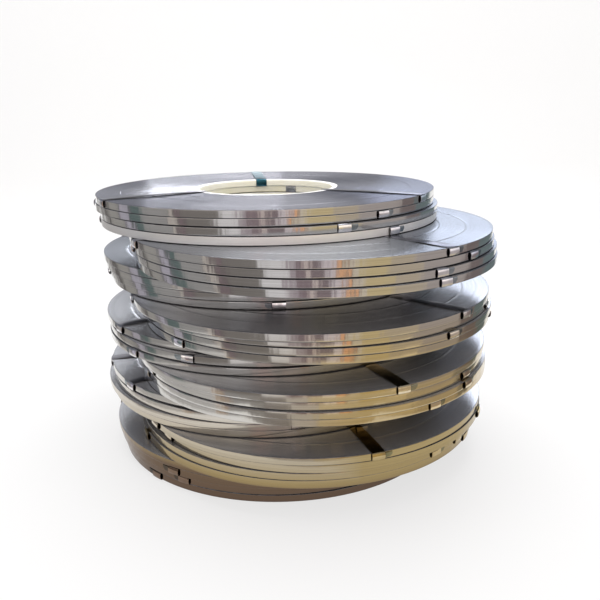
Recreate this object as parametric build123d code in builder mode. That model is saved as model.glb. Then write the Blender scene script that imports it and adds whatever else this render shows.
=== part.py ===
"""Stack of narrow slit coils of stainless steel strip, lying flat in staggered tiers."""

import os
from functools import cache

from build123d import *

os.makedirs("parts", exist_ok=True)

# Driving sizes in millimetres
strip_width = 18.4  # slit width of the strip, so also the height of a coil
coil_diameter = 930.0  # outside of a coil of the usual length
core_diameter = 400.0  # outside of the core ring, so also the bore of the wound strip
core_wall = 14.0
groove_count = 3  # shallow rings between groups of turns, on each end of a coil
groove_width = 1.6
groove_depth = 0.5
strap_width = 32.0
strap_thickness = 0.7
strap_bend = 2.0  # inside radius of a strap's bends, and so its stand-off from the coil's face
strap_clearance = 0.2  # between the straps of two coils where one lies over the other
lap_margin = 1.7  # from each end of the coil to the second layer, where a strap's ends lap
tail_length = 20.0  # folded end of a strap, along the coil's face from the strap's edge
tail_margin = 3.4  # from the coil's lower end to the folded end
tail_cut = 6.0  # slanted corner that the fold leaves
tail_lean = 4.0  # degrees, towards the coil's round face
fold_bearing = 276.0  # degrees, the strap ends fold away from this place at the stack's front

# A strap of each neighbour fits in the gap between two coils
coil_gap = 2 * strap_thickness + strap_clearance
coil_pitch = strip_width + coil_gap

# The tiers from the top one down, each with its coils from the top one down. A coil is given by
# its centre (x, y), what its length adds to the usual diameter, and the bearings of its straps.
TIERS = {
    "a": [
        (-90, 60, -5, (97, 211, 329)),
        (-92, 75, 5, (68, 188, 308)),
        (-80, 65, 0, (53, 173, 293)),
        (-80, 60, -5, (71, 191, 311)),
    ],
    "b": [
        (30, -88, 0, (85, 207, 310)),
        (35, -85, 0, (79, 199, 319)),
        (40, -85, 5, (64, 184, 304)),
        (45, -95, -5, (66, 185, 305)),
    ],
    "c": [
        (-90, 100, 0, (45, 165, 285)),
        (-85, 100, 0, (50, 170, 290)),
        (-80, 105, 0, (78, 198, 318)),
        (-73, 108, 0, (33, 153, 273)),
    ],
    "d": [
        (27, -65, 15, (76, 196, 318)),
        (41, -49, -5, (92, 208, 337)),
        (49, -52, -5, (70, 190, 310)),
        (46, -49, -5, (105, 225, 345)),
    ],
    "e": [
        (-85, 75, 5, (95, 216, 335)),
        (-75, 50, 0, (126, 246, 6)),
        (-75, 45, 0, (103, 223, 343)),
    ],
    "f": [
        (25, -55, 15, (55, 175, 295)),
        (32, -60, -5, (80, 210, 321)),
        (37, -67, -5, (81, 203, 321)),
        (35, -50, 10, (65, 185, 305)),
    ],
    "g": [
        (-80, 55, 0, (74, 194, 220, 314)),
        (-75, 45, 0, (50, 170, 290)),
        (-90, 50, 0, (40, 160, 280)),
        (-85, 50, -10, (60, 180, 300)),
    ],
    "h": [
        (25, -37, 15, (95, 214, 288)),
        (35, -45, -5, (98, 218, 338)),
        (20, -40, 0, (70, 190, 310, 322)),
        (15, -40, 0, (85, 205, 330)),
    ],
    "i": [
        (-70, 30, 0, (60, 180, 300)),
        (-65, 30, 0, (117, 237, 357)),
        (-60, 35, 0, (120, 240, 0)),
        (-55, 35, 0, (107, 227, 347)),
    ],
}

# The origin is under the middle of the stack, so the centres above are moved by the middle
# of the coils' own extent
every_coil = [coil for tier in TIERS.values() for coil in tier]
coil_count = len(every_coil)
reach = coil_diameter / 2
core_radius = core_diameter / 2
middle_x = (
    min(x - reach - more / 2 for x, y, more, bearings in every_coil)
    + max(x + reach + more / 2 for x, y, more, bearings in every_coil)
) / 2
middle_y = (
    min(y - reach - more / 2 for x, y, more, bearings in every_coil)
    + max(y + reach + more / 2 for x, y, more, bearings in every_coil)
) / 2


def wound_coil(base, radius):
    """Turn one coil, with shallow rings between the groups of turns on both of its ends."""
    section = Plane(origin=base.origin, x_dir=base.x_dir, z_dir=-base.y_dir)
    wall = radius - core_radius
    with BuildPart() as wound:
        with BuildSketch(section):
            with Locations((core_radius + wall / 2, strip_width / 2)):
                Rectangle(wall, strip_width)
            for groove in range(1, groove_count + 1):
                middle = core_radius + wall * groove / (groove_count + 1)
                for end, bottom in ((0, groove_depth), (strip_width, strip_width - groove_depth)):
                    with BuildLine():
                        Polyline(
                            (middle - groove_width / 2, end),
                            (middle, bottom),
                            (middle + groove_width / 2, end),
                            close=True,
                        )
                    make_face(mode=Mode.SUBTRACT)
        revolve(axis=Axis(base.origin, base.z_dir))
    return wound.part


@cache
def bent_strap(radius, side):
    """Bend one strap round the section of a coil that lies on the XY plane.

    The strap runs out along X, over the coil, down its outer face, back under it and up through
    the bore. Its ends lap on the outer face, and the last of it is folded to one side there.
    """
    inner = core_radius - core_wall - strap_bend
    outer = radius + strap_bend
    with BuildPart() as strap:
        with BuildSketch(Plane.XZ):
            with Locations(((inner + outer) / 2, strip_width / 2)):
                RectangleRounded(
                    outer - inner + 2 * strap_thickness,
                    strip_width + 2 * strap_thickness,
                    strap_bend + strap_thickness,
                )
                RectangleRounded(outer - inner, strip_width, strap_bend, mode=Mode.SUBTRACT)
        extrude(amount=strap_width / 2, both=True)
        with BuildSketch(Plane.YZ.offset(outer + strap_thickness)):
            with Locations((0, strip_width / 2)):
                Rectangle(strap_width, strip_width - 2 * lap_margin)
        extrude(amount=strap_thickness)
        add(folded_tail(outer, side))
    return strap.part


def folded_tail(face, side):
    """Make the strap's folded end, a leaning plate beside the strap's outer run."""
    hinge = Plane(origin=(face, side * (strap_width / 2 - strap_thickness), 0))
    leaning = hinge.rotated((0, 0, side * tail_lean))
    far = tail_length + strap_thickness
    top = strip_width - strap_bend
    with BuildPart() as tail:
        with BuildSketch(Plane(leaning.origin, x_dir=leaning.y_dir, z_dir=leaning.x_dir)):
            with BuildLine():
                Polyline(
                    (0, top),
                    (side * far, top),
                    (side * far, tail_margin + tail_cut),
                    (side * (far - tail_cut), tail_margin),
                    (0, tail_margin),
                    close=True,
                )
            make_face()
        extrude(amount=strap_thickness)
    return tail.part


number = 0
for letter, tier in TIERS.items():
    bases = []
    straps = []
    for place, (x, y, more, bearings) in enumerate(tier, start=1):
        number += 1
        radius = (coil_diameter + more) / 2
        height = strap_thickness + (coil_count - number) * coil_pitch
        base = Plane(origin=(x - middle_x, y - middle_y, height))
        bases.append(base)
        coil = wound_coil(base, radius)
        coil.label = f"coil_{letter}{place}"
        export_step(coil, f"parts/coil_{letter}{place}.step")
        for bearing in bearings:
            side = 1 if (bearing - fold_bearing) % 360 < 180 else -1
            straps.append((base.rotated((0, 0, bearing)), bent_strap(radius, side)))
    with BuildPart() as core_rings:
        for base in bases:
            with BuildSketch(base):
                Circle(core_radius)
                Circle(core_radius - core_wall, mode=Mode.SUBTRACT)
            extrude(amount=strip_width)
    core_rings.part.label = f"core_rings_{letter}"
    export_step(core_rings.part, f"parts/core_rings_{letter}.step")
    with BuildPart() as tier_straps:
        for seat, strap in straps:
            with Locations(seat):
                add(strap)
    tier_straps.part.label = f"straps_{letter}"
    export_step(tier_straps.part, f"parts/straps_{letter}.step")
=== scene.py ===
"""Looks of a staggered stack of narrow slit coils of bright stainless strip."""

import math

import bpy
import numpy as np
from mathutils import Matrix, Vector


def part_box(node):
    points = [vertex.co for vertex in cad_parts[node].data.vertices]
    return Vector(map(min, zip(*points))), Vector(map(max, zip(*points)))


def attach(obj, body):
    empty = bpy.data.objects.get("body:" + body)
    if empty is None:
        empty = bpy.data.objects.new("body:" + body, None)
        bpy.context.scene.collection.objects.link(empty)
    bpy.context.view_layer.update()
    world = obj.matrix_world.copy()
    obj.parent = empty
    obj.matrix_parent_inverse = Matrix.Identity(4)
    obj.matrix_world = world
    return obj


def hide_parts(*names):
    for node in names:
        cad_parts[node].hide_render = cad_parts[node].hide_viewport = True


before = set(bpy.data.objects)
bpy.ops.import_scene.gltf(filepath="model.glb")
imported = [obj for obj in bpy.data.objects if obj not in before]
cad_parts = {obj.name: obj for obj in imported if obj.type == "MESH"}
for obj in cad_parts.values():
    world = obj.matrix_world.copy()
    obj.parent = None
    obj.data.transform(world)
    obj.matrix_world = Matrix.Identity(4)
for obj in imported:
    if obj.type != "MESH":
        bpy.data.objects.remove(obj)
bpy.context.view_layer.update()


# The wound coils.
# Each is a long slit strip of bright rolled stainless steel, wound flat on its core ring. Its
# outermost turn shows as a mirror-like band and its slit edges as fine rings on both ends.
def start_material(name, metallic, roughness, anisotropic=0.0):
    """Start a node material whose constant values sit on the shader's own sockets."""
    material = bpy.data.materials.new(name)
    material.use_nodes = True
    nodes = material.node_tree.nodes
    shader = nodes["Principled BSDF"]
    shader.inputs["Metallic"].default_value = metallic
    shader.inputs["Roughness"].default_value = roughness
    shader.inputs["Anisotropic"].default_value = anisotropic
    return material, nodes, material.node_tree.links, shader


def add_node(nodes, kind, **values):
    """Add one node and set its plain attributes and its unlinked inputs."""
    node = nodes.new(kind)
    for key, value in values.items():
        if key in node.bl_rna.properties:
            setattr(node, key, value)
        else:
            node.inputs[key.replace("_", " ")].default_value = value
    return node


def set_ramp(node, stops):
    """Fill a colour ramp from (position, colour) stops."""
    ramp = node.color_ramp
    while len(ramp.elements) < len(stops):
        ramp.elements.new(0.5)
    for element, (position, colour) in zip(ramp.elements, stops):
        element.position = position
        element.color = (*colour, 1.0)


def skin(rings, closed, slots, uv_along, uv_across):
    """Join a row of closed outlines into one shell.

    rings[k, j] is point j of outline k. Quad (k, j) spans outlines k and k + 1 and points j and
    j + 1, and takes material slots[j]. A row that isn't closed gets a flat end across its first
    and its last outline, filled in strips from point 0 against the last point. The UV map is
    uv_along[k] by uv_across[j]. Where the shell's volume comes out negative, its quads are turned
    round, so that they face outwards.
    """
    row_count, point_count = rings.shape[:2]
    spans = row_count if closed else row_count - 1
    k, j = np.meshgrid(np.arange(spans), np.arange(point_count), indexing="ij")
    k_next = (k + 1) % row_count
    j_next = (j + 1) % point_count
    corners = [(k, j), (k_next, j), (k_next, j_next), (k, j_next)]
    quads = np.stack([a * point_count + b for a, b in corners], axis=-1).reshape(-1, 4)
    along = np.stack([uv_along[k], uv_along[k + 1], uv_along[k + 1], uv_along[k]], axis=-1)
    across = np.stack([uv_across[b] for a, b in corners], axis=-1)
    uv = np.stack([along, across], axis=-1).reshape(-1, 4, 2)
    chosen = np.tile(slots, spans)
    if not closed:
        i = np.arange(point_count // 2 - 1)
        strip = np.stack([i, i + 1, point_count - 2 - i, point_count - 1 - i], axis=-1)
        ends = np.concatenate([strip, strip[:, ::-1] + (row_count - 1) * point_count])
        quads = np.concatenate([quads, ends])
        uv = np.concatenate([uv, np.zeros((len(ends), 4, 2))])
        chosen = np.concatenate([chosen, np.full(len(ends), slots[-1])])
    points = rings.reshape(-1, 3)
    a, b, c, d = (points[quads[:, n]] for n in range(4))
    volume = (np.cross(b - a, c - a) * a).sum() + (np.cross(c - a, d - a) * a).sum()
    if volume < 0:
        quads, uv = quads[:, ::-1], uv[:, ::-1]
    return points, quads, chosen, uv


def add_piece(name, skins, materials, replaced):
    """Put some shells into one mesh object, at the origin, that replaces a CAD node."""
    offsets = np.cumsum([0] + [len(points) for points, quads, chosen, uv in skins])
    mesh = bpy.data.meshes.new(name)
    quads = np.concatenate([part[1] + offset for part, offset in zip(skins, offsets)])
    mesh.from_pydata(np.concatenate([part[0] for part in skins]), [], quads)
    layer = mesh.uv_layers.new(name="winding")
    layer.data.foreach_set("uv", np.concatenate([part[3] for part in skins]).reshape(-1))
    chosen = np.concatenate([part[2] for part in skins]).astype(np.int32)
    mesh.polygons.foreach_set("material_index", chosen)
    mesh.polygons.foreach_set("use_smooth", np.ones(len(quads), bool))
    mesh.update()
    sharpest_smooth_bend = math.radians(35)
    mesh.set_sharp_from_angle(angle=sharpest_smooth_bend)
    for material in materials:
        mesh.materials.append(material)
    piece = bpy.data.objects.new(name, mesh)
    bpy.context.scene.collection.objects.link(piece)
    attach(piece, "root")
    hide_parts(replaced)


def turned_skin(centre, radii, heights, segments, slots, start=0.0):
    """Turn a closed profile about an upright axis.

    Outline k is the profile at turn k / segments: radii[j] out from the centre, at heights[j].
    Its UV runs from start, in metres round the outside, by radius plus rise across.
    """
    turn = np.arange(segments) / segments * 2 * np.pi
    x = centre[0] + np.outer(np.cos(turn), radii)
    y = centre[1] + np.outer(np.sin(turn), radii)
    rings = np.stack([x, y, np.broadcast_to(heights, x.shape)], axis=-1)
    along = start + np.arange(segments + 1) / segments * 2 * np.pi * radii.max()
    return skin(rings, True, slots, along, radii + heights - heights.min())


def add_painted_warm_reflection(nodes, links, colour):
    """Paint a warm reflection into a colour towards the stack's foot, more on its right than left.

    The painted reflection is the colour times a ramp over height, a dark reflection at the floor
    and warm above it, mixed in by the greater of two shares: one grows towards the right, the
    other towards the floor.
    """
    where = add_node(nodes, "ShaderNodeTexCoord")
    axes = add_node(nodes, "ShaderNodeSeparateXYZ")
    links.new(where.outputs["Object"], axes.inputs["Vector"])
    height = add_node(nodes, "ShaderNodeMapRange", From_Min=0.0, From_Max=0.5)
    links.new(axes.outputs["Z"], height.inputs["Value"])
    painted_warmth = add_node(nodes, "ShaderNodeValToRGB")
    set_ramp(painted_warmth, [
        (0.0, (0.22, 0.15, 0.11)), (0.13, (0.26, 0.18, 0.12)), (0.18, (0.54, 0.41, 0.20)),
        (0.30, (0.58, 0.45, 0.22)), (0.42, (0.68, 0.51, 0.26)), (0.55, (0.86, 0.72, 0.46)),
        (0.8, (0.92, 0.82, 0.62)), (1.0, (1.0, 1.0, 1.0)),
    ])
    links.new(height.outputs["Result"], painted_warmth.inputs["Fac"])
    right = add_node(nodes, "ShaderNodeMapRange", From_Min=-0.12, From_Max=0.16, To_Min=0.12)
    links.new(axes.outputs["X"], right.inputs["Value"])
    low = add_node(nodes, "ShaderNodeMapRange", From_Min=0.26, From_Max=0.09)
    links.new(axes.outputs["Z"], low.inputs["Value"])
    share = add_node(nodes, "ShaderNodeMath", operation="MAXIMUM")
    links.new(right.outputs["Result"], share.inputs[0])
    links.new(low.outputs["Result"], share.inputs[1])
    tinted = add_node(nodes, "ShaderNodeMix", data_type="RGBA", blend_type="MULTIPLY")
    links.new(share.outputs["Value"], tinted.inputs["Factor"])
    links.new(colour, tinted.inputs["A"])
    links.new(painted_warmth.outputs["Color"], tinted.inputs["B"])
    return tinted.outputs["Result"]


def make_face_material(name, roughness, dark, light):
    """Bright rolled face: near mirror, with faint ripples that stand across its length.

    Ripples are given by how many come in a metre of strip and how high they are.
    """
    material, nodes, links, shader = start_material(name, 1.0, roughness)
    uv = add_node(nodes, "ShaderNodeUVMap", uv_map="winding")
    lengthwise = add_node(nodes, "ShaderNodeMapping", Scale=(2.0, 320.0, 1.0))
    links.new(uv.outputs["UV"], lengthwise.inputs["Vector"])
    grain = add_node(nodes, "ShaderNodeTexNoise", Scale=1.0, Detail=3.0)
    links.new(lengthwise.outputs["Vector"], grain.inputs["Vector"])
    tone = add_node(nodes, "ShaderNodeValToRGB")
    set_ramp(tone, [(0.3, dark), (0.7, light)])
    links.new(grain.outputs["Fac"], tone.inputs["Fac"])
    # Painted warm reflection in the base colour, dark near the floor
    painted_warm_colour = add_painted_warm_reflection(nodes, links, tone.outputs["Color"])
    links.new(painted_warm_colour, shader.inputs["Base Color"])
    normal = None
    for ripples_in_a_metre, height in ((7.0, 0.0045), (38.0, 0.0007), (150.0, 0.00012)):
        standing = add_node(nodes, "ShaderNodeMapping", Scale=(ripples_in_a_metre, 1.5, 1.0))
        links.new(uv.outputs["UV"], standing.inputs["Vector"])
        ripple = add_node(nodes, "ShaderNodeTexNoise", Scale=1.0, Detail=0.0)
        links.new(standing.outputs["Vector"], ripple.inputs["Vector"])
        bump = add_node(nodes, "ShaderNodeBump", Strength=1.0, Distance=height)
        links.new(ripple.outputs["Fac"], bump.inputs["Height"])
        if normal:
            links.new(normal, bump.inputs["Normal"])
        normal = bump.outputs["Normal"]
    links.new(normal, shader.inputs["Normal"])
    return material


def make_edge_material(name, metallic, dark, middle, light, glint):
    """Slit edges of the turns: satin rings that differ a little from turn to turn, with specks.

    The gloss is drawn out across the turns, and glint is its colour where light grazes them.
    """
    material, nodes, links, shader = start_material(name, metallic, 0.26, 0.85)
    uv = add_node(nodes, "ShaderNodeUVMap", uv_map="winding")
    turns = add_node(nodes, "ShaderNodeMapping", Scale=(0.12, 480.0, 1.0))
    links.new(uv.outputs["UV"], turns.inputs["Vector"])
    fine = add_node(nodes, "ShaderNodeTexNoise", Scale=1.0, Detail=4.0, Roughness=0.7)
    links.new(turns.outputs["Vector"], fine.inputs["Vector"])
    tone = add_node(nodes, "ShaderNodeValToRGB")
    set_ramp(tone, [(0.28, dark), (0.5, middle), (0.75, light)])
    links.new(fine.outputs["Fac"], tone.inputs["Fac"])
    where = add_node(nodes, "ShaderNodeTexCoord")
    dust = add_node(nodes, "ShaderNodeTexNoise", Scale=260.0, Detail=1.0)
    links.new(where.outputs["Object"], dust.inputs["Vector"])
    specks = add_node(nodes, "ShaderNodeValToRGB")
    set_ramp(specks, [(0.70, (0.0, 0.0, 0.0)), (0.76, (0.5, 0.5, 0.5))])
    links.new(dust.outputs["Fac"], specks.inputs["Fac"])
    speckled = add_node(nodes, "ShaderNodeMix", data_type="RGBA", blend_type="ADD")
    speckled.inputs["Factor"].default_value = 0.5
    links.new(tone.outputs["Color"], speckled.inputs["A"])
    links.new(specks.outputs["Color"], speckled.inputs["B"])
    links.new(speckled.outputs["Result"], shader.inputs["Base Color"])
    bump = add_node(nodes, "ShaderNodeBump", Strength=0.3, Distance=0.0004)
    links.new(fine.outputs["Fac"], bump.inputs["Height"])
    links.new(bump.outputs["Normal"], shader.inputs["Normal"])
    tangent = add_node(nodes, "ShaderNodeTangent", direction_type="UV_MAP", uv_map="winding")
    links.new(tangent.outputs["Tangent"], shader.inputs["Tangent"])
    quarter_turn = 0.25
    shader.inputs["Anisotropic Rotation"].default_value = quarter_turn
    shader.inputs["Specular Tint"].default_value = (*glint, 1.0)
    return material


def make_seam_shade_lip_material():
    """Rounded lips at the rims, dull and in places dark: painted shade of the seams between coils."""
    material, nodes, links, shader = start_material("rolled_lips_seam_shade", 1.0, 0.4)
    where = add_node(nodes, "ShaderNodeTexCoord")
    lip_unevenness = add_node(nodes, "ShaderNodeTexNoise", Scale=60.0, Detail=3.0)
    links.new(where.outputs["Object"], lip_unevenness.inputs["Vector"])
    tone = add_node(nodes, "ShaderNodeValToRGB")
    set_ramp(tone, [(0.35, (0.07, 0.07, 0.08)), (0.75, (0.20, 0.20, 0.22))])
    links.new(lip_unevenness.outputs["Fac"], tone.inputs["Fac"])
    links.new(tone.outputs["Color"], shader.inputs["Base Color"])
    return material


def coil_profile(inside, outside, low, high, stations, rise, lip, seed):
    """Section of a coil: upper end, rounded lip, outer face, lip and lower end.

    The turns on the upper end stand back by relief times a random walk from 0 to 1, and deeper at
    the grooves between groups of turns, each a V in section. The outermost turns stand proud by
    rise, which fades out inwards from creep_begin to creep_end, measured from the rim. The outer
    face is crowned by a parabola over its height. A lip is an arc of radius lip. Quads get slot 0
    on the outer face, 2 on the lips and 1 on both ends.
    """
    relief = 0.0003
    crown = 0.0002
    creep_begin = 0.003
    creep_end = 0.006
    groove_count = 3
    groove_width = 0.0016
    groove_depth = 0.0005
    random = np.random.default_rng(seed)
    groove = inside + (outside - inside) * np.arange(1, groove_count + 1) / (groove_count + 1)
    sides = np.concatenate([groove - groove_width / 2, groove, groove + groove_width / 2])
    across = np.sort(np.concatenate([np.linspace(inside, outside - lip, stations), sides]))
    walk = np.cumsum(random.normal(0, 1, len(across)))
    walk = (walk - walk.min()) / (walk.max() - walk.min())
    depth = np.clip(1 - np.abs(across[:, None] - groove) / (groove_width / 2), 0, 1).max(axis=1)
    proud = rise * np.clip((across - outside + creep_end) / (creep_end - creep_begin), 0, 1)
    arc = np.linspace(0, math.pi / 2, 4)[1:]
    low_arc = arc - math.pi / 6
    top = high + rise
    top_r = np.concatenate([across, outside - lip + lip * np.sin(arc)])
    top_z = np.concatenate([high - relief * walk - groove_depth * depth + proud,
                            top - lip + lip * np.cos(arc)])
    beside_lip = 0.0003
    face = np.linspace(top - lip, low + lip, 7)[1:-1]
    face = np.concatenate([[top - lip - beside_lip], face, [low + lip + beside_lip]])
    middle = (top + low) / 2
    face_r = outside + crown - crown * ((face - middle) / (top - middle)) ** 2
    low_r = np.concatenate([outside - lip + lip * np.cos(low_arc), [inside]])
    low_z = np.concatenate([low + lip - lip * np.sin(low_arc), [low]])
    radii = np.concatenate([top_r, face_r, low_r])
    heights = np.concatenate([top_z, face, low_z])
    on_face = (radii > outside - lip / 9) & (heights < top - lip * 0.9) & (heights > low + lip * 1.1)
    slots = np.where(on_face, 0, 1)
    slots[(radii > outside - lip * 0.95) & ~on_face] = 2
    return radii, heights, slots


face_material = make_face_material("rolled_face", 0.13, (0.60, 0.595, 0.58), (0.70, 0.695, 0.68))
# Rougher, much lighter copy of the face for coil a4: a painted highlight on its band
satin_lightened_face_material = make_face_material("satin_lightened_face", 0.42, (0.93, 0.92, 0.90), (0.97, 0.96, 0.94))
# Tiers d to i: a diffuse share lightens their ends, painted light in the shade under the tiers above
shade_lifted_edge_material = make_edge_material(
    "slit_edges", 0.74, (0.38, 0.385, 0.40), (0.51, 0.52, 0.545), (0.65, 0.665, 0.70),
    (0.55, 0.57, 0.61),
)
bright_edge_material = make_edge_material(
    "bright_edges", 0.93, (0.36, 0.37, 0.39), (0.48, 0.495, 0.52), (0.62, 0.64, 0.68),
    (0.42, 0.44, 0.48),
)
# Top coil: a darker copy, painted shade on its upper end
darkened_top_edge_material = make_edge_material(
    "darkened_top_edges", 1.0, (0.31, 0.31, 0.335), (0.41, 0.41, 0.44), (0.56, 0.56, 0.60),
    (0.28, 0.29, 0.33),
)
# Dark lips paint the shade in the seams between coils
seam_shade_lip_material = make_seam_shade_lip_material()
coil_names = sorted(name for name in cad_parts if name.startswith("coil_"))
bore_radius = 0.2
usual_lip = 0.0010
crept_lip = 0.0004
# Coils whose outermost turns have crept up nearly to the coil above, so that little gap shows
crept_up = {
    "coil_a4": 0.0008, "coil_d2": 0.0012, "coil_f2": 0.0011, "coil_f4": 0.0013,
    "coil_g2": 0.0006, "coil_h2": 0.0013, "coil_h4": 0.0013, "coil_i2": 0.0006,
}
# Each coil's ripples begin at another place on the strip
strip_between_coils = 3.7
coils = {}
for number, name in enumerate(coil_names):
    low, high = (np.array(corner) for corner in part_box(name))
    centre = (low + high) / 2
    outside = (high - low)[:2].max() / 2
    coils[name] = (centre, outside, low[2], high[2])
    stations, segments = (80, 256) if name == "coil_a1" else (24, 192)
    rise = crept_up.get(name, 0.0)
    lip = crept_lip if name in crept_up else usual_lip
    radii, heights, slots = coil_profile(
        bore_radius, outside, low[2], high[2], stations, rise, lip, number,
    )
    start = strip_between_coils * number
    turned = turned_skin(centre, radii, heights, segments, slots, start)
    # Coil a4's band takes the lighter copy, a painted highlight
    outer_face = satin_lightened_face_material if name == "coil_a4" else face_material
    # Copies of the slit edges by tier: painted shade on the top coil, painted light on tiers d to i
    if name == "coil_a1":
        ends = darkened_top_edge_material
    elif name[:6] in ("coil_a", "coil_b", "coil_c"):
        ends = bright_edge_material
    else:
        ends = shade_lifted_edge_material
    add_piece(f"wound_{name}", [turned], [outer_face, ends, seam_shade_lip_material], name)


# The core rings.
# Each coil is wound on a short ring of cream plastic that stays in its bore, flush with the coil.
# Its rim is rounded and rubbed white.
def make_plastic(name, dark, light, roughness):
    """Plain plastic, a little cloudy, with fine scuffs in its gloss."""
    material, nodes, links, shader = start_material(name, 0.0, roughness)
    where = add_node(nodes, "ShaderNodeTexCoord")
    cloud = add_node(nodes, "ShaderNodeTexNoise", Scale=16.0, Detail=5.0)
    links.new(where.outputs["Object"], cloud.inputs["Vector"])
    tone = add_node(nodes, "ShaderNodeValToRGB")
    set_ramp(tone, [(0.3, dark), (0.7, light)])
    links.new(cloud.outputs["Fac"], tone.inputs["Fac"])
    links.new(tone.outputs["Color"], shader.inputs["Base Color"])
    scuffs = add_node(nodes, "ShaderNodeTexNoise", Scale=180.0, Detail=3.0)
    links.new(where.outputs["Object"], scuffs.inputs["Vector"])
    bump = add_node(nodes, "ShaderNodeBump", Strength=0.2, Distance=0.0005)
    links.new(scuffs.outputs["Fac"], bump.inputs["Height"])
    links.new(bump.outputs["Normal"], shader.inputs["Normal"])
    return material


ring_wall_material = make_plastic("cream_plastic", (0.95, 0.93, 0.76), (0.98, 0.97, 0.86), 0.4)
ring_rim_material = make_plastic("rubbed_plastic", (0.88, 0.88, 0.84), (0.94, 0.94, 0.92), 0.3)
core_wall = 0.014
rim_round = 0.003
ring_segments = 128


def ring_profile(low, high):
    """Section of a core ring: a rectangle whose two inner corners are quarter circles.

    Quads get slot 1 on the upper rim, down to 0.6 of its rounding, and 0 elsewhere.
    """
    inside = bore_radius - core_wall
    quarter = np.linspace(0, math.pi / 2, 6)
    radii = np.concatenate([
        [bore_radius, bore_radius],
        inside + rim_round - rim_round * np.sin(quarter),
        inside + rim_round - rim_round * np.cos(quarter),
    ])
    heights = np.concatenate([
        [low, high],
        high - rim_round + rim_round * np.cos(quarter),
        low + rim_round - rim_round * np.sin(quarter),
    ])
    return radii, heights, np.where(heights > high - 0.6 * rim_round, 1, 0)


for letter in "abcdefghi":
    rings = []
    for name in coil_names:
        if name.startswith(f"coil_{letter}"):
            centre, outside, low, high = coils[name]
            radii, heights, slots = ring_profile(low, high)
            rings.append(turned_skin(centre, radii, heights, ring_segments, slots))
    add_piece(f"rings_{letter}", rings, [ring_wall_material, ring_rim_material],
              f"core_rings_{letter}")


# The straps.
# Thin bright steel strapping, bent round the coil and its ring. Its ends lap on the coil's outer
# face, where the strap bulges, and the last of it is folded to one side.
def make_strapping(name, dark, light, roughness, glint):
    """Steel strapping, a little uneven. Glint is its colour where light grazes it."""
    material, nodes, links, shader = start_material(name, 1.0, roughness)
    shader.inputs["Specular Tint"].default_value = (*glint, 1.0)
    where = add_node(nodes, "ShaderNodeTexCoord")
    cloud = add_node(nodes, "ShaderNodeTexNoise", Scale=40.0, Detail=4.0)
    links.new(where.outputs["Object"], cloud.inputs["Vector"])
    tone = add_node(nodes, "ShaderNodeValToRGB")
    set_ramp(tone, [(0.3, dark), (0.7, light)])
    links.new(cloud.outputs["Fac"], tone.inputs["Fac"])
    # Painted warm reflection in the base colour, dark near the floor
    painted_warm_colour = add_painted_warm_reflection(nodes, links, tone.outputs["Color"])
    links.new(painted_warm_colour, shader.inputs["Base Color"])
    bump = add_node(nodes, "ShaderNodeBump", Strength=0.25, Distance=0.002)
    links.new(cloud.outputs["Fac"], bump.inputs["Height"])
    links.new(bump.outputs["Normal"], shader.inputs["Normal"])
    return material


strap_width = 0.032
strap_thickness = 0.0007
strap_bend = 0.002
strap_crown = 0.0008
lap_margin = 0.0017
tail_length = 0.020
tail_margin = 0.0034
tail_cut = 0.006
fold_bearing = 276.0
strap_bearings = {
    "a": [(97, 211, 329), (68, 188, 308), (53, 173, 293), (71, 191, 311)],
    "b": [(85, 207, 310), (79, 199, 319), (64, 184, 304), (66, 185, 305)],
    "c": [(45, 165, 285), (50, 170, 290), (78, 198, 318), (33, 153, 273)],
    "d": [(76, 196, 318), (92, 208, 337), (70, 190, 310), (105, 225, 345)],
    "e": [(95, 216, 335), (126, 246, 6), (103, 223, 343)],
    "f": [(55, 175, 295), (80, 210, 321), (81, 203, 321), (65, 185, 305)],
    "g": [(74, 194, 220, 314), (50, 170, 290), (40, 160, 280), (60, 180, 300)],
    "h": [(95, 214, 288), (98, 218, 338), (70, 190, 310, 322), (85, 205, 330)],
    "i": [(60, 180, 300), (117, 237, 357), (120, 240, 0), (107, 227, 347)],
}


def placed(points, centre, bearing, base):
    """Turn points from a strap's own axes, X outward and Y along its width, to their bearing."""
    angle = math.radians(bearing)
    x = centre[0] + points[..., 0] * math.cos(angle) - points[..., 1] * math.sin(angle)
    y = centre[1] + points[..., 0] * math.sin(angle) + points[..., 1] * math.cos(angle)
    return np.stack([x, y, base + points[..., 2]], axis=-1)


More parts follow.
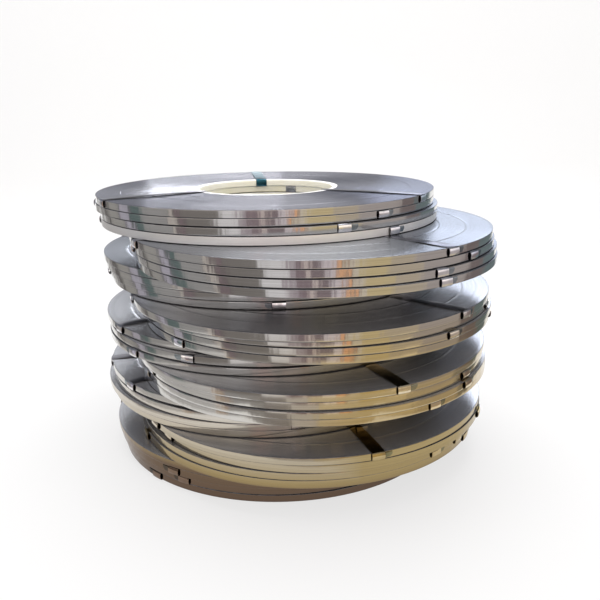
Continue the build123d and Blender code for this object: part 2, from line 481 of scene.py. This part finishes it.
def strap_loop(outside, height, bulge, lift, lift_from):
    """Closed band round the coil's section, in the strap's own axes.

    Its path is a rectangle with round corners. The outer run bulges by bulge times the sine of
    its height, and the upper run is lifted by lift times a power of the sine of the way from
    lift_from to the outer corner. The band's section is a thin slat, crowned across its width by
    a parabola, except on the underside of the coil.
    """
    inner = bore_radius - core_wall - strap_bend
    outer = outside + strap_bend
    corner = np.linspace(0, math.pi / 2, 5)
    bends = [
        (outer - strap_bend, height - strap_bend, math.pi / 2),
        (outer - strap_bend, strap_bend, 0.0),
        (inner + strap_bend, strap_bend, -math.pi / 2),
        (inner + strap_bend, height - strap_bend, -math.pi),
    ]
    places = []
    turns = []
    for x, z, begin in bends:
        angle = begin - corner
        places.append(np.stack([x + strap_bend * np.cos(angle), z + strap_bend * np.sin(angle)], 1))
        turns.append(angle)
    down = np.linspace(height - strap_bend, strap_bend, 8)[1:-1]
    over = np.linspace(inner + strap_bend, outer - strap_bend, 26)[1:-1]
    x = np.concatenate([
        places[0][:, 0], np.full(len(down), outer),
        places[1][:, 0], places[2][:, 0], places[3][:, 0], over,
    ])
    z = np.concatenate([
        places[0][:, 1], down,
        places[1][:, 1], places[2][:, 1], places[3][:, 1], np.full(len(over), height),
    ])
    angle = np.concatenate([
        turns[0], np.zeros(len(down)),
        turns[1], turns[2], turns[3], np.full(len(over), math.pi / 2),
    ])
    on_outer = x > outer - strap_bend / 2
    x = x + np.where(on_outer, bulge * np.sin(np.clip(z / height, 0, 1) * math.pi), 0)
    way = np.clip((x - lift_from) / (outer - strap_bend - lift_from), 0, 1)
    lift_power = 0.6
    on_upper = z > height - strap_thickness
    z = z + np.where(on_upper, lift * np.sin(way * math.pi) ** lift_power, 0)
    across = np.array([-1.0, -0.6, 0.0, 0.6, 1.0]) * strap_width / 2
    crown = strap_crown * (1 - (across / (strap_width / 2)) ** 2)
    crown = np.clip(np.sin(angle) + 1, 0, 1)[:, None] * crown
    y = np.concatenate([across, across[::-1]])
    proud = np.concatenate([strap_thickness + crown, crown[:, ::-1]], axis=1)
    return np.stack([
        x[:, None] + np.cos(angle)[:, None] * proud,
        np.broadcast_to(y, (len(x), len(y))),
        z[:, None] + np.sin(angle)[:, None] * proud,
    ], axis=-1)


def folded_end(outside, height, side, length, lean):
    """Folded tail: a small leaning plate with a rolled upper edge and a slanted lower corner.

    It reaches out beside the strap by length, and falls back towards the coil by that way times
    the tangent of lean, in degrees. Its upper edge is a quarter circle of radius roll, and its
    lowest row is shorter by tail_cut.
    """
    roll = 0.0015
    root = outside + strap_bend - 0.3 * strap_thickness
    top = height - strap_bend - roll
    rise = np.array([tail_margin, tail_margin + tail_cut, (tail_margin + tail_cut + top) / 2, top])
    arc = np.linspace(0, math.pi / 2, 4)[1:]
    z = np.concatenate([rise, top + roll * np.sin(arc)])
    back = np.concatenate([np.zeros(len(rise)), roll * (1 - np.cos(arc))])
    reach = np.concatenate([[length - tail_cut], np.full(len(z) - 1, length)])
    share = np.array([0.0, 0.1, 0.55, 1.0])
    out = np.outer(reach, share)
    x = root + strap_thickness - back[:, None] - out * math.tan(math.radians(lean))
    y = side * (strap_width / 2 + out)
    front = np.stack([x, y, np.broadcast_to(z[:, None], x.shape)], axis=-1)
    rear = front[:, ::-1] - np.array([strap_thickness, 0, 0])
    return np.concatenate([front, rear], axis=1)


def lap_plate(outside, height, bulge):
    """Second layer of the strap on its outer run, where the ends lap.

    It follows the strap's bulge, by the sine of its height, and has the strap's crown.
    """
    z = np.linspace(lap_margin, height - lap_margin, 8)
    swell = bulge * np.sin(z / height * math.pi)
    across = np.array([-1.0, -0.5, 0.0, 0.5, 1.0]) * strap_width / 2
    crown = strap_crown * (1 - (across / (strap_width / 2)) ** 2)
    y = np.concatenate([across, across[::-1]])
    proud = np.concatenate([2 * strap_thickness + crown, strap_thickness + crown[::-1]])
    x = outside + strap_bend + swell[:, None] + proud
    return np.stack([
        x,
        np.broadcast_to(y, x.shape),
        np.broadcast_to(z[:, None], x.shape),
    ], axis=-1)


# Underside: a near black copy, painted shade in the gaps between the strap and the coil
strap_materials = [
    make_strapping("strapping_steel", (0.30, 0.31, 0.34), (0.44, 0.45, 0.49), 0.22, (0.4, 0.4, 0.42)),
    make_strapping("strap_underside_painted_shade", (0.05, 0.05, 0.055), (0.09, 0.09, 0.10), 0.45, (0.5, 0.5, 0.5)),
    make_strapping("strap_ends_painted_reflection", (0.24, 0.28, 0.31), (0.40, 0.45, 0.48), 0.18, (0.8, 0.8, 0.8)),
    make_strapping("strap_laps_painted_highlight", (0.72, 0.72, 0.76), (0.90, 0.90, 0.93), 0.10, (1.0, 1.0, 1.0)),
    make_strapping("blued_strap", (0.02, 0.06, 0.08), (0.03, 0.11, 0.15), 0.25, (0.01, 0.10, 0.14)),
]
steel, underside, folded, lapped_highlight, blued = range(len(strap_materials))
# A lap's front and a tail's far edge are a much lighter copy, painted highlight; backs painted shade
lap_slots = np.array([lapped_highlight] * 5 + [underside] * 4 + [lapped_highlight])
# A tail's first strip is the fold's painted shadow; its front is a bluish copy, painted reflection
tail_slots = np.array([underside, folded, folded, lapped_highlight] + [underside] * 4)
# Steps of the straps' UV maps, along a band and along a lap or a folded end
band_step = 0.01
small_step = 0.002
random = np.random.default_rng(21)
for letter, tier in strap_bearings.items():
    skins = []
    for place, bearings in enumerate(tier, start=1):
        centre, outside, low, high = coils[f"coil_{letter}{place}"]
        height = high - low
        for bearing in bearings:
            side = 1 if (bearing - fold_bearing) % 360 < 180 else -1
            bulge = random.uniform(0.0014, 0.0024)
            length = tail_length * random.uniform(0.85, 1.1)
            lean = random.uniform(4.0, 8.0)
            # Straps lie loose over the upper coil of a tier, where nothing presses on them
            if letter == "a" and place == 1:
                lift, lift_from = 0.0022, bore_radius
            elif place == 1:
                lift, lift_from = 0.0016, 0.36
            else:
                lift, lift_from = 0.0, 0.3
            band = strap_loop(outside, height, bulge, lift, lift_from)
            outer_slot = blued if (letter, bearing) == ("a", 97) else steel
            # The band's inner side is painted dark, as the shade in the gap under the strap
            band_slots = np.array([outer_slot] * 4 + [steel] + [underside] * 4 + [steel])
            lap = lap_plate(outside, height, bulge)
            tail = folded_end(outside, height, side, length, lean)
            strap_across = np.linspace(0, 2 * strap_width, 10)
            tail_across = np.linspace(0, 2 * length, 8)
            for outlines, closed, slots, step, across in (
                (band, True, band_slots, band_step, strap_across),
                (lap, False, lap_slots, small_step, strap_across),
                (tail, False, tail_slots, small_step, tail_across),
            ):
                along = np.arange(len(outlines) + 1) * step
                set_down = placed(outlines, centre, bearing, low)
                skins.append(skin(set_down, closed, slots, along, across))
    add_piece(f"strapping_{letter}", skins, strap_materials, f"straps_{letter}")


# The floor and the backdrop.
# One pale sheet under the stack, cut as a fan that fills the view. It sweeps up into a wall
# behind the stack, and is a little wider near its foot.
fan_foot_x, fan_foot_y = 0.024, -1.9
fan_begin, wall_distance = 1.1, 5.4
wall_height = 2.0
cove = 0.5
half_angle_far = 26.0
half_angle_near = 29.5
widening_from = 2.3
# The sheet in section: a level run, a quarter circle and an upright run
sweep = np.linspace(0, np.pi / 2, 9)
level = np.linspace(fan_begin, wall_distance - cove, 7)[:-1]
upright = np.linspace(cove, wall_height, 5)[1:]
out = np.concatenate([
    level, wall_distance - cove + cove * np.sin(sweep), np.full(len(upright), wall_distance),
])
up = np.concatenate([np.zeros(len(level)), cove - cove * np.cos(sweep), upright])
nearness = np.clip(widening_from - out, 0, 1)
half_angle = np.radians(half_angle_far + (half_angle_near - half_angle_far) * nearness)
share = np.linspace(-1, 1, 49)
sheet_x = fan_foot_x + out * np.sin(np.outer(share, half_angle))
sheet_y = fan_foot_y + out * np.cos(np.outer(share, half_angle))
sheet_z = np.broadcast_to(up, sheet_x.shape)
grid = np.stack([sheet_x, sheet_y, sheet_z], axis=-1).reshape(-1, 3)
i, j = np.meshgrid(np.arange(len(share) - 1), np.arange(len(out) - 1), indexing="ij")
corner = i * len(out) + j
quads = np.stack([corner, corner + len(out), corner + len(out) + 1, corner + 1], axis=-1)
quads = quads.reshape(-1, 4)[:, ::-1]
sheet_mesh = bpy.data.meshes.new("studio_sheet")
sheet_mesh.from_pydata(grid, [], quads)
sheet_mesh.polygons.foreach_set("use_smooth", np.ones(len(quads), bool))
sheet = bpy.data.objects.new("studio_sheet", sheet_mesh)
bpy.context.scene.collection.objects.link(sheet)
sheet_material, nodes, links, shader = start_material("pale_paper", 0.0, 0.9)
shader.inputs["Base Color"].default_value = (0.78, 0.78, 0.78, 1.0)
shader.inputs["Specular IOR Level"].default_value = 0.0
# Rays of the camera, of gloss and of glass see the paper mostly lit by itself, and the rest of it
# keeps the stack's shadow
own_light_share = 0.7
light_path = add_node(nodes, "ShaderNodeLightPath")
gloss = add_node(nodes, "ShaderNodeMath", operation="MAXIMUM")
links.new(light_path.outputs["Is Camera Ray"], gloss.inputs[0])
links.new(light_path.outputs["Is Glossy Ray"], gloss.inputs[1])
seen = add_node(nodes, "ShaderNodeMath", operation="MAXIMUM")
links.new(gloss.outputs["Value"], seen.inputs[0])
links.new(light_path.outputs["Is Transmission Ray"], seen.inputs[1])
own_light = add_node(nodes, "ShaderNodeMath", operation="MULTIPLY")
own_light.inputs[1].default_value = own_light_share
links.new(seen.outputs["Value"], own_light.inputs[0])
glow = add_node(nodes, "ShaderNodeEmission", Strength=1.0)
both = add_node(nodes, "ShaderNodeMixShader")
links.new(own_light.outputs["Value"], both.inputs["Fac"])
links.new(shader.outputs["BSDF"], both.inputs[1])
links.new(glow.outputs["Emission"], both.inputs[2])
links.new(both.outputs["Shader"], nodes["Material Output"].inputs["Surface"])
sheet_mesh.materials.append(sheet_material)


# The studio light.
# A soft sky over a dim ground, a broad lamp overhead, three low lamps at the back that gloss the
# coils' ends, and rings of strip lamps that the bright faces mirror, cool left and warm right.
def area_lamp(name, place, aim, width, height, radiance):
    """Hang one area lamp, turned to its aim. Radiance is in red, green and blue.

    A lamp that shines evenly to one side gives pi times its radiance from each unit of its area.
    """
    lamp = bpy.data.lights.new(name, "AREA")
    lamp.shape = "RECTANGLE"
    lamp.size = width
    lamp.size_y = height
    brightest = max(radiance)
    lamp.color = [part / brightest for part in radiance]
    lamp.energy = brightest * math.pi * width * height
    holder = bpy.data.objects.new(name, lamp)
    holder.location = place
    holder.rotation_euler = (Vector(aim) - Vector(place)).to_track_quat("-Z", "Y").to_euler()
    holder.visible_camera = False
    bpy.context.scene.collection.objects.link(holder)


world = bpy.data.worlds.new("studio")
bpy.context.scene.world = world
world.use_nodes = True
nodes, links = world.node_tree.nodes, world.node_tree.links
background = nodes["Background"]
direction = add_node(nodes, "ShaderNodeTexCoord")
axes = add_node(nodes, "ShaderNodeSeparateXYZ")
links.new(direction.outputs["Generated"], axes.inputs["Vector"])
above = add_node(nodes, "ShaderNodeMapRange", From_Min=-1.0, From_Max=1.0)
links.new(axes.outputs["Z"], above.inputs["Value"])
front_sky = add_node(nodes, "ShaderNodeValToRGB")
set_ramp(front_sky, [
    (0.0, (0.10, 0.09, 0.085)), (0.49, (0.11, 0.10, 0.10)), (0.53, (0.45, 0.41, 0.39)),
    (0.58, (0.85, 0.78, 0.73)), (0.65, (1.0, 0.92, 0.86)), (1.0, (0.56, 0.55, 0.56)),
])
links.new(above.outputs["Result"], front_sky.inputs["Fac"])
back_sky = add_node(nodes, "ShaderNodeValToRGB")
set_ramp(back_sky, [
    (0.0, (0.10, 0.09, 0.085)), (0.49, (0.11, 0.10, 0.10)), (0.56, (0.55, 0.58, 0.66)),
    (0.68, (0.24, 0.25, 0.29)), (1.0, (0.50, 0.50, 0.52)),
])
links.new(above.outputs["Result"], back_sky.inputs["Fac"])
behind = add_node(nodes, "ShaderNodeMapRange", From_Min=-0.3, From_Max=0.4)
links.new(axes.outputs["Y"], behind.inputs["Value"])
sky = add_node(nodes, "ShaderNodeMix", data_type="RGBA")
links.new(behind.outputs["Result"], sky.inputs["Factor"])
links.new(front_sky.outputs["Color"], sky.inputs["A"])
links.new(back_sky.outputs["Color"], sky.inputs["B"])
links.new(sky.outputs["Result"], background.inputs["Color"])
background.inputs["Strength"].default_value = 1.0

strip_distance = 3.6
# Three rows of strip lamps, each with the heights between which it hangs. A lamp is given by the
# bearings where it begins and ends, in degrees from the front towards the right, and its radiance.
strip_rows = {
    (1.5, 3.3): [
        (-9, -3, (0.70, 0.26, 0.20)),
        (5, 12, (0.42, 0.22, 0.17)),
    ],
    (-0.95, 1.5): [
        (-170, -146, (0.34, 0.34, 0.35)),
        (-146, -139, (0.46, 0.46, 0.46)),
        (-135, -128, (0.52, 0.52, 0.51)),
        (-125, -122, (0.40, 0.39, 0.38)),
        (-117, -101, (0.26, 0.255, 0.24)),
        (-99, -91, (0.37, 0.355, 0.43)),
        (-89, -80, (0.02, 0.075, 0.075)),
        (-80, -61, (0.25, 0.25, 0.25)),
        (-60, -56, (0.52, 0.47, 0.43)),
        (-54, -50, (0.13, 0.08, 0.10)),
        (-49, -27, (0.12, 0.11, 0.10)),
        (-27, -14, (0.66, 0.645, 0.66)),
        (-14, -9, (0.32, 0.27, 0.30)),
        (-9, -3, (0.13, 0.08, 0.10)),
        (-3, 0, (0.64, 0.54, 0.51)),
        (0, 8, (0.12, 0.08, 0.095)),
        (8, 14, (0.60, 0.54, 0.57)),
        (15, 18.5, (0.88, 0.42, 0.17)),
        (20, 25, (0.58, 0.52, 0.42)),
        (25, 42, (0.53, 0.42, 0.20)),
        (42, 60, (0.42, 0.35, 0.25)),
        (60, 96, (0.33, 0.29, 0.275)),
        (96, 112, (0.10, 0.07, 0.07)),
        (112, 150, (0.05, 0.10, 0.11)),
    ],
    (-2.0, -0.95): [
        (-170, -128, (0.34, 0.34, 0.35)),
        (-128, -60, (0.46, 0.455, 0.45)),
        (-60, -52, (0.36, 0.27, 0.19)),
        (-52, -30, (0.24, 0.235, 0.23)),
        (-30, -14, (0.19, 0.175, 0.17)),
        (-14, 2, (0.50, 0.475, 0.45)),
        (2, 60, (0.58, 0.50, 0.33)),
        (60, 96, (0.46, 0.39, 0.27)),
        (96, 150, (0.18, 0.17, 0.14)),
    ],
}
for (row_low, row_high), lamps in strip_rows.items():
    for number, (begin, end, radiance) in enumerate(lamps):
        bearing = math.radians((begin + end) / 2)
        width = 2 * strip_distance * math.tan(math.radians(end - begin) / 2)
        x, y = strip_distance * math.sin(bearing), -strip_distance * math.cos(bearing)
        middle = (row_low + row_high) / 2
        height = row_high - row_low
        area_lamp(f"strip_{number}", (x, y, middle), (0, 0, middle), width, height, radiance)
area_lamp("window_low", (1.35, 3.1, 1.12), (0.4, 0, 0.6), 1.5, 0.34, (0.75, 0.86, 1.04))
area_lamp("window_high", (1.35, 3.1, 1.64), (0.4, 0, 0.4), 1.5, 0.62, (3.3, 3.5, 4.0))
area_lamp("back_left", (-0.6, 3.3, 0.96), (-0.3, 0.3, 0.7), 1.0, 0.12, (17.0, 17.0, 17.4))
area_lamp("overhead", (0.0, 0.6, 3.9), (0, 0.6, 0), 3.4, 3.0, (5.4, 5.4, 5.4))


# The camera.
# It stands at the photograph's viewing angle. Its place, tilt and roll were worked out from the
# ellipses of the coils' rims.
focal_pixels = 690.0
image_pixels = 600
camera_place = (0.0240, -1.9005, 0.9128)
tilt_down = math.radians(15.64)
roll = math.radians(-0.93)
camera = bpy.data.cameras.new("photo_camera")
camera.sensor_width = 36.0
camera.lens = camera.sensor_width * focal_pixels / image_pixels
camera_object = bpy.data.objects.new("photo_camera", camera)
forward = Vector((0, math.cos(tilt_down), -math.sin(tilt_down)))
level_up = Vector((0, math.sin(tilt_down), math.cos(tilt_down)))
right = Vector((1, 0, 0)) * math.cos(roll) + level_up * math.sin(roll)
up = right.cross(forward)
turned = Matrix((right, up, -forward)).transposed().to_4x4()
camera_object.matrix_world = Matrix.Translation(camera_place) @ turned
bpy.context.scene.collection.objects.link(camera_object)
bpy.context.scene.camera = camera_object
bpy.context.scene.view_settings.view_transform = "Standard"
